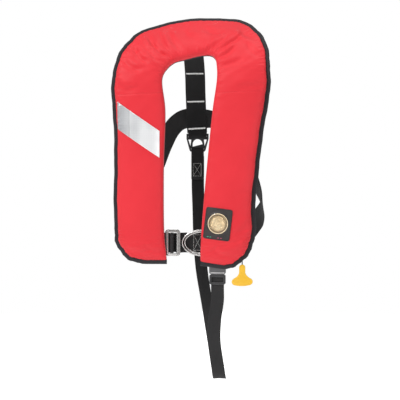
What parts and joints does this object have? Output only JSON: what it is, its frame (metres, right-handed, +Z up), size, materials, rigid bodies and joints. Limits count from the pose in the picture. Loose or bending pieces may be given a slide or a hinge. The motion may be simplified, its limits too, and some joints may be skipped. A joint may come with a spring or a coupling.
{
  "type": "inflatable life jacket",
  "caption": "Horseshoe-shaped inflatable life jacket with harness webbing, chest buckle, D rings, crotch strap and a pull tab.",
  "frame": {"origin": "the middle of the collar's neck edge, where the jacket rests on the wearer's neck", "axes": "+Z up along the lobes, -Y to the front, +X to the right of someone who looks at the front"},
  "size_m": [0.3658, 0.1824, 0.826],
  "materials": {
    "cover_red": "matt woven nylon",
    "lining": "matt woven nylon",
    "binding": "ribbed tape",
    "webbing": "woven polyester webbing",
    "closure": "hook and loop",
    "reflective": "retroreflective, silver",
    "patch": "soft vinyl",
    "lens": "clear",
    "cap": "semi gloss, golden",
    "black_plastic": "moulded acetal",
    "steel": "polished stainless steel",
    "amber": "semi gloss",
    "bladder": "coated fabric",
    "cylinder": "zinc plated",
    "cord": "braided",
    "rubber": "matt",
    "mouthpiece": "semi gloss"
  },
  "bodies": {
    "jacket": {"cover_front_left": "cover_red", "cover_front_collar": "cover_red", "cover_front_right": "cover_red", "cover_back_left": "lining", "cover_back_collar": "lining", "cover_back_right": "lining", "edge_binding": "binding", "closure_hook_tape": "closure", "closure_loop_tape": "closure", "bladder": "bladder", "reflective_tape": "reflective", "window_patch": "patch", "window_lens": "lens", "inflator_body": "black_plastic", "inflator_cap": "cap", "lever_pin": "steel", "gas_cylinder": "cylinder", "oral_tube": "rubber", "oral_mouthpiece": "mouthpiece", "whistle": "amber", "yoke_strap": "webbing", "back_belt_left": "webbing", "back_belt_right": "webbing", "webbing_connector": "black_plastic", "yoke_loop": "webbing", "crotch_loop": "webbing", "crotch_strap_rear": "webbing", "crotch_strap_fold": "webbing", "crotch_strap_front": "webbing", "crotch_buckle_female": "black_plastic", "crotch_buckle_male": "black_plastic", "crotch_buckle_tab": "webbing", "chest_frame_female": "steel", "chest_webbing_left": "webbing", "d_ring_webbing": "webbing", "chest_webbing_bridge": "webbing", "chest_rivet": "steel", "belt_keeper_left": "webbing", "belt_keeper_right": "webbing", "lifting_loop": "webbing"},
    "pull": {"lanyard": "cord", "pull_tab": "amber"},
    "lever": {"firing_lever": "amber"},
    "pin": {"piercing_pin": "steel"},
    "prong_left": {"crotch_prong_left": "black_plastic"},
    "prong_right": {"crotch_prong_right": "black_plastic"},
    "male_frame": {"chest_frame_male": "steel"},
    "d_rings": {"d_ring_front": "steel", "d_ring_back": "steel"},
    "valve": {"oral_valve": "rubber"},
    "valve_cap": {"oral_cap": "rubber"}
  },
  "joints": [
    {"name": "pull_travel", "type": "slide", "parent": "jacket", "child": "pull", "axis": [0, 0, -1], "range_m": [0, 0.026]},
    {"name": "lever_turn", "type": "hinge", "parent": "jacket", "child": "lever", "pos_m": [0.0998, -0.0132, -0.392], "axis": [0, 1, 0], "range_deg": [0, 60]},
    {"name": "pin_stroke", "type": "slide", "parent": "jacket", "child": "pin", "axis": [0, 0, 1], "range_m": [0, 0.0052]},
    {"name": "prong_left_squeeze", "type": "hinge", "parent": "jacket", "child": "prong_left", "pos_m": [0.0505, -0.001, -0.5009], "axis": [0, 1, 0], "range_deg": [0, 7], "stiffness_Nm_per_rad": 0.3},
    {"name": "prong_right_squeeze", "type": "hinge", "parent": "jacket", "child": "prong_right", "pos_m": [0.0775, -0.001, -0.5009], "axis": [0, -1, 0], "range_deg": [0, 7], "stiffness_Nm_per_rad": 0.3},
    {"name": "male_frame_tilt", "type": "hinge", "parent": "jacket", "child": "male_frame", "pos_m": [-0.041, -0.0114, -0.425], "axis": [0, 0, -1], "range_deg": [0, 25]},
    {"name": "d_ring_swing", "type": "hinge", "parent": "jacket", "child": "d_rings", "pos_m": [0.032, 0.0021, -0.425], "axis": [0, 0, 1], "range_deg": [0, 40]},
    {"name": "valve_press", "type": "slide", "parent": "jacket", "child": "valve", "axis": [0, 0, 1], "range_m": [0, 0.003], "stiffness_N_per_m": 300},
    {"name": "valve_cap_pull", "type": "slide", "parent": "jacket", "child": "valve_cap", "axis": [0, 0, -1], "range_m": [0, 0.012]}
  ],
  "couplings": [
    {"joint": "lever_turn", "follows": "pull_travel", "rad_per_m": 40.27},
    {"joint": "pin_stroke", "follows": "pull_travel", "ratio": 0.2}
  ]
}
